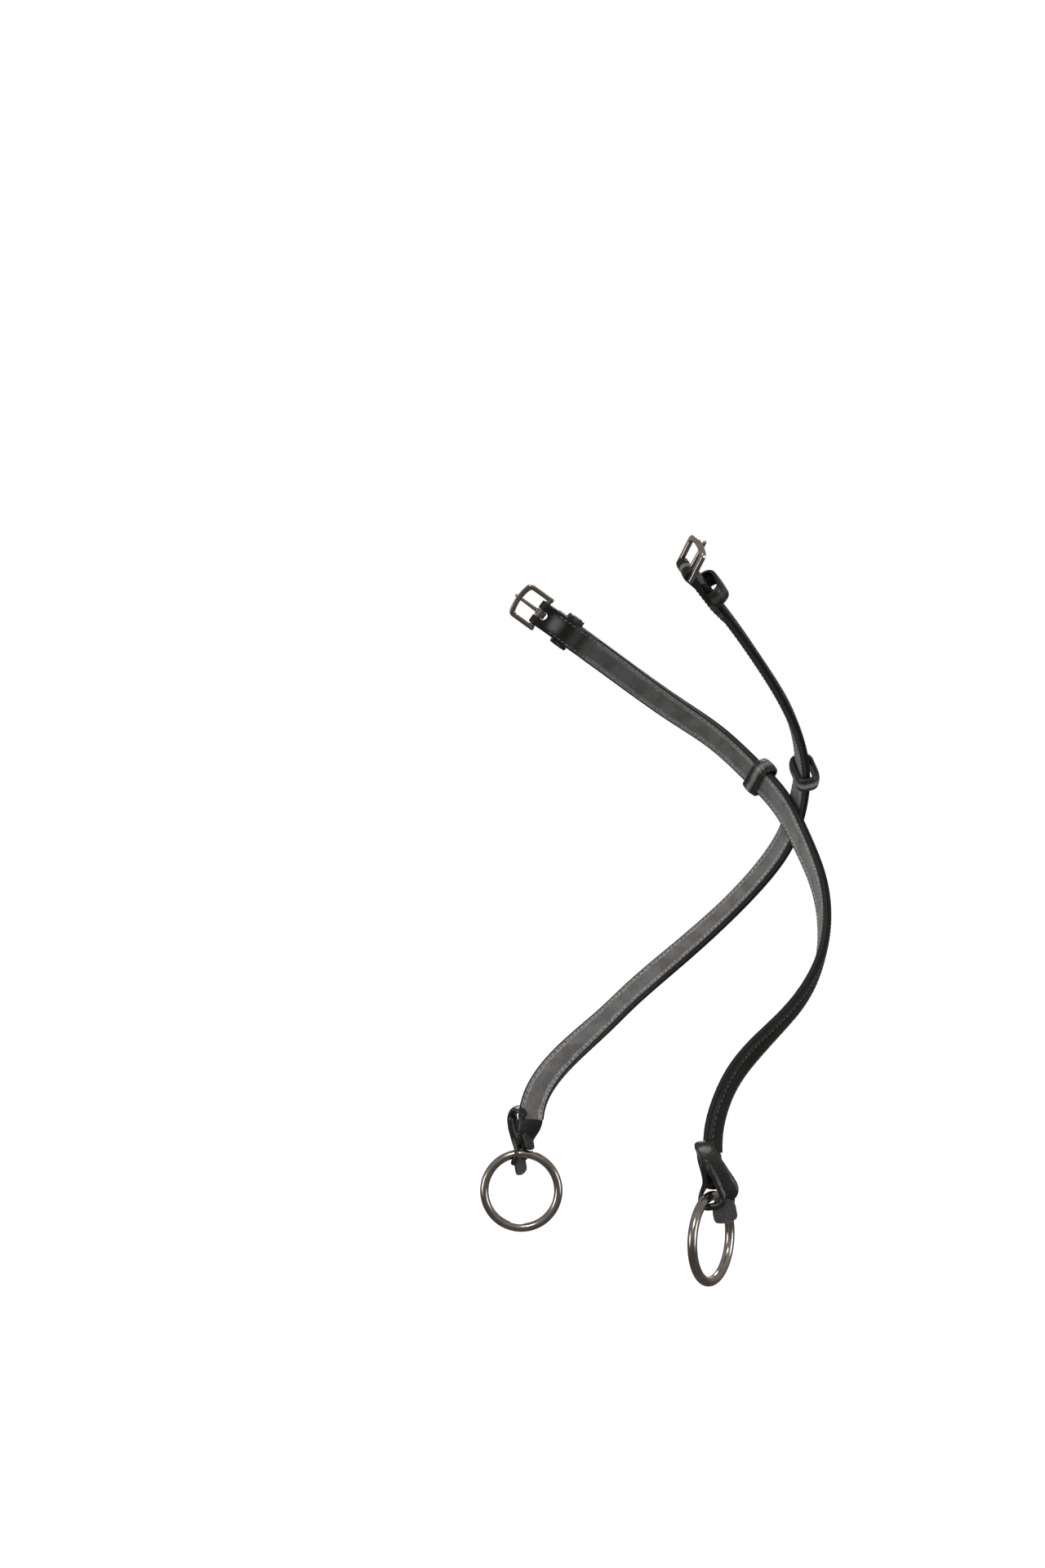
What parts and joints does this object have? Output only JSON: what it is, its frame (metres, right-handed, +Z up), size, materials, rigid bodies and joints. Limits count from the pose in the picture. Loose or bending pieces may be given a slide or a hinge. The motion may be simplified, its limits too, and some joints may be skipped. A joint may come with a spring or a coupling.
{
  "type": "crossed martingale",
  "caption": "Crossed throat martingale: lined leather straps cross behind the jaw, each buckling to the throatlash and holding a steel rein ring.",
  "frame": {"origin": "midway between the two buckles, where the throatlash holds the straps", "axes": "+X to the horse's left, +Y back towards the neck, +Z up"},
  "size_m": [0.2178, 0.1537, 0.3806],
  "materials": {
    "left_strap_face": "smooth black bridle leather",
    "left_strap_lining": "matte suede-like flesh side",
    "left_thread_front": "waxed thread",
    "left_thread_back": "waxed thread",
    "left_chape": "smooth black bridle leather",
    "left_fixed_keeper": "smooth black bridle leather",
    "left_hitch_tab": "smooth black bridle leather",
    "left_buckle_frame": "polished stainless steel",
    "left_buckle_tongue": "polished stainless steel",
    "left_runner_keeper": "smooth black bridle leather",
    "left_rein_ring": "polished stainless steel",
    "right_strap_face": "smooth black bridle leather",
    "right_strap_lining": "matte suede-like flesh side",
    "right_thread_front": "waxed thread",
    "right_thread_back": "waxed thread",
    "right_chape": "smooth black bridle leather",
    "right_fixed_keeper": "smooth black bridle leather",
    "right_hitch_tab": "smooth black bridle leather",
    "right_buckle_frame": "polished stainless steel",
    "right_buckle_tongue": "polished stainless steel",
    "right_runner_keeper": "smooth black bridle leather",
    "right_rein_ring": "polished stainless steel"
  },
  "bodies": {
    "left_strap": {"left_strap_face": "left_strap_face", "left_strap_lining": "left_strap_lining", "left_thread_front": "left_thread_front", "left_thread_back": "left_thread_back", "left_chape": "left_chape", "left_fixed_keeper": "left_fixed_keeper", "left_hitch_tab": "left_hitch_tab"},
    "left_frame": {"left_buckle_frame": "left_buckle_frame"},
    "left_tongue": {"left_buckle_tongue": "left_buckle_tongue"},
    "left_runner": {"left_runner_keeper": "left_runner_keeper"},
    "left_ring": {"left_rein_ring": "left_rein_ring"},
    "right_strap": {"right_strap_face": "right_strap_face", "right_strap_lining": "right_strap_lining", "right_thread_front": "right_thread_front", "right_thread_back": "right_thread_back", "right_chape": "right_chape", "right_fixed_keeper": "right_fixed_keeper", "right_hitch_tab": "right_hitch_tab"},
    "right_frame": {"right_buckle_frame": "right_buckle_frame"},
    "right_tongue": {"right_buckle_tongue": "right_buckle_tongue"},
    "right_runner": {"right_runner_keeper": "right_runner_keeper"},
    "right_ring": {"right_rein_ring": "right_rein_ring"}
  },
  "joints": [
    {"name": "strap_crossing", "type": "hinge", "parent": "left_strap", "child": "right_strap", "pos_m": [0.0005, 0.1213, -0.1141], "axis": [0.135, 0.985, 0.107], "range_deg": [-6, 6]},
    {"name": "left_buckle_pivot", "type": "hinge", "parent": "left_strap", "child": "left_frame", "pos_m": [-0.07748, 0.00109, -0.00252], "axis": [-0.4987, -0.3896, -0.7743], "range_deg": [-20, 70]},
    {"name": "right_buckle_pivot", "type": "hinge", "parent": "right_strap", "child": "right_frame", "pos_m": [0.08094, -0.00612, 0.00298], "axis": [-0.773, 0.1785, 0.6088], "range_deg": [-77, 13]},
    {"name": "left_tongue_pivot", "type": "hinge", "parent": "left_frame", "child": "left_tongue", "pos_m": [-0.07748, 0.00109, -0.00252], "axis": [-0.4987, -0.3896, -0.7743], "range_deg": [0, 50]},
    {"name": "right_tongue_pivot", "type": "hinge", "parent": "right_frame", "child": "right_tongue", "pos_m": [0.08094, -0.00612, 0.00298], "axis": [-0.773, 0.1785, 0.6088], "range_deg": [0, 50]},
    {"name": "left_runner_slide", "type": "slide", "parent": "left_strap", "child": "left_runner", "axis": [0.67, 0.3103, -0.6743], "range_m": [-0.005, 0.005]},
    {"name": "right_runner_slide", "type": "slide", "parent": "right_strap", "child": "right_runner", "axis": [-0.6306, 0.4613, -0.6241], "range_m": [-0.005, 0.005]},
    {"name": "left_ring_swing", "type": "hinge", "parent": "left_strap", "child": "left_ring", "pos_m": [0.096, -0.001, -0.3145], "axis": [-0.4848, 0.8746, 0], "range_deg": [-45, 45]},
    {"name": "right_ring_swing", "type": "hinge", "parent": "right_strap", "child": "right_ring", "pos_m": [-0.096, -0.001, -0.3145], "axis": [0.4848, 0.8746, 0], "range_deg": [-45, 45]}
  ]
}
